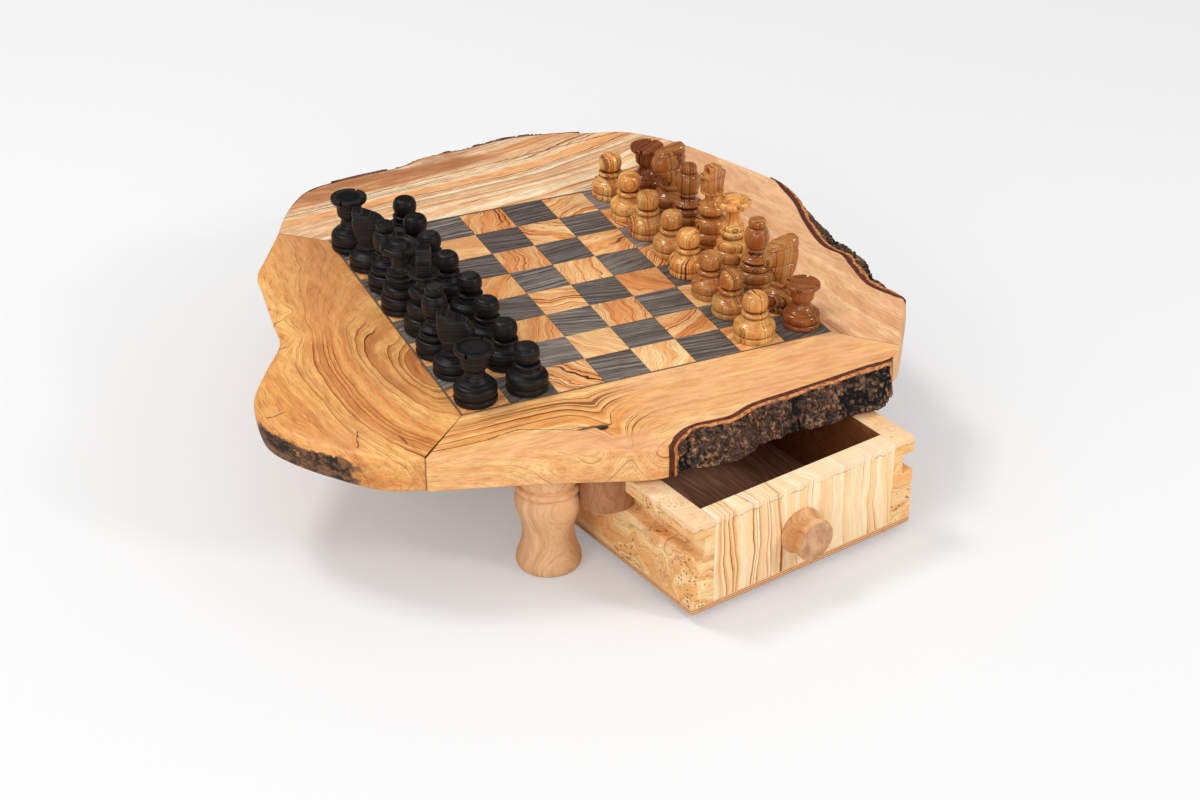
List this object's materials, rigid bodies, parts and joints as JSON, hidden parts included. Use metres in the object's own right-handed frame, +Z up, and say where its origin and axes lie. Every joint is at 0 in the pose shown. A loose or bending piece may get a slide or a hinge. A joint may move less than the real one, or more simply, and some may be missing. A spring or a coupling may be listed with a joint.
{
  "type": "chess box with drawers",
  "caption": "Live-edge olive wood chess board on turned feet, with a drawer sliding out at each end on side runners and a full set of turned wooden chessmen.",
  "frame": {"origin": "under the middle of the box round the whole object at rest, on the surface that the feet stand on", "axes": "+Z up; -Y towards the front, the way that the front drawer opens; +X to the right of someone facing the front drawer. The playing field is turned 11.7 degrees clockwise from these axes."},
  "size_m": [0.445, 0.471, 0.1465],
  "materials": {
    "slab_wood": "oiled, satin",
    "bark": "raw bark, matte",
    "core_plywood": "bare plywood, matte",
    "light_square_wood": "oiled, satin",
    "dark_square_wood": "stained, satin",
    "strip_wood": "dark filler line, satin",
    "turned_foot_wood": "bare sanded, matte",
    "batten_wood": "bare sanded, matte",
    "drawer_front_wood": "bare sanded, matte",
    "drawer_side_wood": "bare sanded, matte",
    "drawer_back_wood": "bare sanded, matte",
    "drawer_plywood": "bare plywood, matte",
    "knob_wood": "bare sanded, satin",
    "black_men_wood": "stained black, satin",
    "light_men_wood": "polished oil, gloss"
  },
  "bodies": {
    "board": {"slab_front": "slab_wood", "slab_left": "slab_wood", "slab_back": "slab_wood", "slab_right": "slab_wood", "bark_front": "bark", "bark_sides": "bark", "core_board": "core_plywood", "light_squares": "light_square_wood", "dark_squares": "dark_square_wood", "border_strip": "strip_wood", "foot_front_left": "turned_foot_wood", "foot_front_right": "turned_foot_wood", "foot_back_left": "turned_foot_wood", "foot_back_right": "turned_foot_wood", "runner_blocks": "turned_foot_wood", "centre_stop": "batten_wood"},
    "drawer_front": {"front_drawer_front": "drawer_front_wood", "front_drawer_back": "drawer_back_wood", "front_drawer_left": "drawer_side_wood", "front_drawer_right": "drawer_side_wood", "front_drawer_bottom": "drawer_plywood", "front_drawer_knob": "knob_wood"},
    "drawer_back": {"back_drawer_front": "drawer_front_wood", "back_drawer_back": "drawer_back_wood", "back_drawer_left": "drawer_side_wood", "back_drawer_right": "drawer_side_wood", "back_drawer_bottom": "drawer_plywood", "back_drawer_knob": "knob_wood"},
    "black_rook_front": {"black_rook_front": "black_men_wood"},
    "black_knight_front": {"black_knight_front": "black_men_wood"},
    "black_bishop_front": {"black_bishop_front": "black_men_wood"},
    "black_king": {"black_king": "black_men_wood"},
    "black_queen": {"black_queen": "black_men_wood"},
    "black_bishop_back": {"black_bishop_back": "black_men_wood"},
    "black_knight_back": {"black_knight_back": "black_men_wood"},
    "black_rook_back": {"black_rook_back": "black_men_wood"},
    "black_pawn_1": {"black_pawn_1": "black_men_wood"},
    "black_pawn_2": {"black_pawn_2": "black_men_wood"},
    "black_pawn_3": {"black_pawn_3": "black_men_wood"},
    "black_pawn_4": {"black_pawn_4": "black_men_wood"},
    "black_pawn_5": {"black_pawn_5": "black_men_wood"},
    "black_pawn_6": {"black_pawn_6": "black_men_wood"},
    "black_pawn_7": {"black_pawn_7": "black_men_wood"},
    "black_pawn_8": {"black_pawn_8": "black_men_wood"},
    "light_pawn_1": {"light_pawn_1": "light_men_wood"},
    "light_pawn_2": {"light_pawn_2": "light_men_wood"},
    "light_pawn_3": {"light_pawn_3": "light_men_wood"},
    "light_pawn_4": {"light_pawn_4": "light_men_wood"},
    "light_pawn_5": {"light_pawn_5": "light_men_wood"},
    "light_pawn_6": {"light_pawn_6": "light_men_wood"},
    "light_pawn_7": {"light_pawn_7": "light_men_wood"},
    "light_pawn_8": {"light_pawn_8": "light_men_wood"},
    "light_rook_front": {"light_rook_front": "light_men_wood"},
    "light_knight_front": {"light_knight_front": "light_men_wood"},
    "light_bishop_front": {"light_bishop_front": "light_men_wood"},
    "light_queen": {"light_queen": "light_men_wood"},
    "light_king": {"light_king": "light_men_wood"},
    "light_bishop_back": {"light_bishop_back": "light_men_wood"},
    "light_knight_back": {"light_knight_back": "light_men_wood"},
    "light_rook_back": {"light_rook_back": "light_men_wood"}
  },
  "joints": [
    {"name": "drawer_back_slide", "type": "slide", "parent": "board", "child": "drawer_back", "axis": [0, 1, 0], "range_m": [0, 0.1]},
    {"name": "drawer_front_slide", "type": "slide", "parent": "board", "child": "drawer_front", "axis": [0, -1, 0], "range_m": [-0.0647, 0.0353]},
    {"name": "lift_black_rook_front", "type": "slide", "parent": "board", "child": "black_rook_front", "axis": [0, 0, 1], "range_m": [0, 0.065]},
    {"name": "lift_black_knight_front", "type": "slide", "parent": "board", "child": "black_knight_front", "axis": [0, 0, 1], "range_m": [0, 0.065]},
    {"name": "lift_black_bishop_front", "type": "slide", "parent": "board", "child": "black_bishop_front", "axis": [0, 0, 1], "range_m": [0, 0.065]},
    {"name": "lift_black_king", "type": "slide", "parent": "board", "child": "black_king", "axis": [0, 0, 1], "range_m": [0, 0.065]},
    {"name": "lift_black_queen", "type": "slide", "parent": "board", "child": "black_queen", "axis": [0, 0, 1], "range_m": [0, 0.065]},
    {"name": "lift_black_bishop_back", "type": "slide", "parent": "board", "child": "black_bishop_back", "axis": [0, 0, 1], "range_m": [0, 0.065]},
    {"name": "lift_black_knight_back", "type": "slide", "parent": "board", "child": "black_knight_back", "axis": [0, 0, 1], "range_m": [0, 0.065]},
    {"name": "lift_black_rook_back", "type": "slide", "parent": "board", "child": "black_rook_back", "axis": [0, 0, 1], "range_m": [0, 0.065]},
    {"name": "lift_black_pawn_1", "type": "slide", "parent": "board", "child": "black_pawn_1", "axis": [0, 0, 1], "range_m": [0, 0.065]},
    {"name": "lift_black_pawn_2", "type": "slide", "parent": "board", "child": "black_pawn_2", "axis": [0, 0, 1], "range_m": [0, 0.065]},
    {"name": "lift_black_pawn_3", "type": "slide", "parent": "board", "child": "black_pawn_3", "axis": [0, 0, 1], "range_m": [0, 0.065]},
    {"name": "lift_black_pawn_4", "type": "slide", "parent": "board", "child": "black_pawn_4", "axis": [0, 0, 1], "range_m": [0, 0.065]},
    {"name": "lift_black_pawn_5", "type": "slide", "parent": "board", "child": "black_pawn_5", "axis": [0, 0, 1], "range_m": [0, 0.065]},
    {"name": "lift_black_pawn_6", "type": "slide", "parent": "board", "child": "black_pawn_6", "axis": [0, 0, 1], "range_m": [0, 0.065]},
    {"name": "lift_black_pawn_7", "type": "slide", "parent": "board", "child": "black_pawn_7", "axis": [0, 0, 1], "range_m": [0, 0.065]},
    {"name": "lift_black_pawn_8", "type": "slide", "parent": "board", "child": "black_pawn_8", "axis": [0, 0, 1], "range_m": [0, 0.065]},
    {"name": "lift_light_pawn_1", "type": "slide", "parent": "board", "child": "light_pawn_1", "axis": [0, 0, 1], "range_m": [0, 0.065]},
    {"name": "lift_light_pawn_2", "type": "slide", "parent": "board", "child": "light_pawn_2", "axis": [0, 0, 1], "range_m": [0, 0.065]},
    {"name": "lift_light_pawn_3", "type": "slide", "parent": "board", "child": "light_pawn_3", "axis": [0, 0, 1], "range_m": [0, 0.065]},
    {"name": "lift_light_pawn_4", "type": "slide", "parent": "board", "child": "light_pawn_4", "axis": [0, 0, 1], "range_m": [0, 0.065]},
    {"name": "lift_light_pawn_5", "type": "slide", "parent": "board", "child": "light_pawn_5", "axis": [0, 0, 1], "range_m": [0, 0.065]},
    {"name": "lift_light_pawn_6", "type": "slide", "parent": "board", "child": "light_pawn_6", "axis": [0, 0, 1], "range_m": [0, 0.065]},
    {"name": "lift_light_pawn_7", "type": "slide", "parent": "board", "child": "light_pawn_7", "axis": [0, 0, 1], "range_m": [0, 0.065]},
    {"name": "lift_light_pawn_8", "type": "slide", "parent": "board", "child": "light_pawn_8", "axis": [0, 0, 1], "range_m": [0, 0.065]},
    {"name": "lift_light_rook_front", "type": "slide", "parent": "board", "child": "light_rook_front", "axis": [0, 0, 1], "range_m": [0, 0.065]},
    {"name": "lift_light_knight_front", "type": "slide", "parent": "board", "child": "light_knight_front", "axis": [0, 0, 1], "range_m": [0, 0.065]},
    {"name": "lift_light_bishop_front", "type": "slide", "parent": "board", "child": "light_bishop_front", "axis": [0, 0, 1], "range_m": [0, 0.065]},
    {"name": "lift_light_queen", "type": "slide", "parent": "board", "child": "light_queen", "axis": [0, 0, 1], "range_m": [0, 0.065]},
    {"name": "lift_light_king", "type": "slide", "parent": "board", "child": "light_king", "axis": [0, 0, 1], "range_m": [0, 0.065]},
    {"name": "lift_light_bishop_back", "type": "slide", "parent": "board", "child": "light_bishop_back", "axis": [0, 0, 1], "range_m": [0, 0.065]},
    {"name": "lift_light_knight_back", "type": "slide", "parent": "board", "child": "light_knight_back", "axis": [0, 0, 1], "range_m": [0, 0.065]},
    {"name": "lift_light_rook_back", "type": "slide", "parent": "board", "child": "light_rook_back", "axis": [0, 0, 1], "range_m": [0, 0.065]}
  ]
}
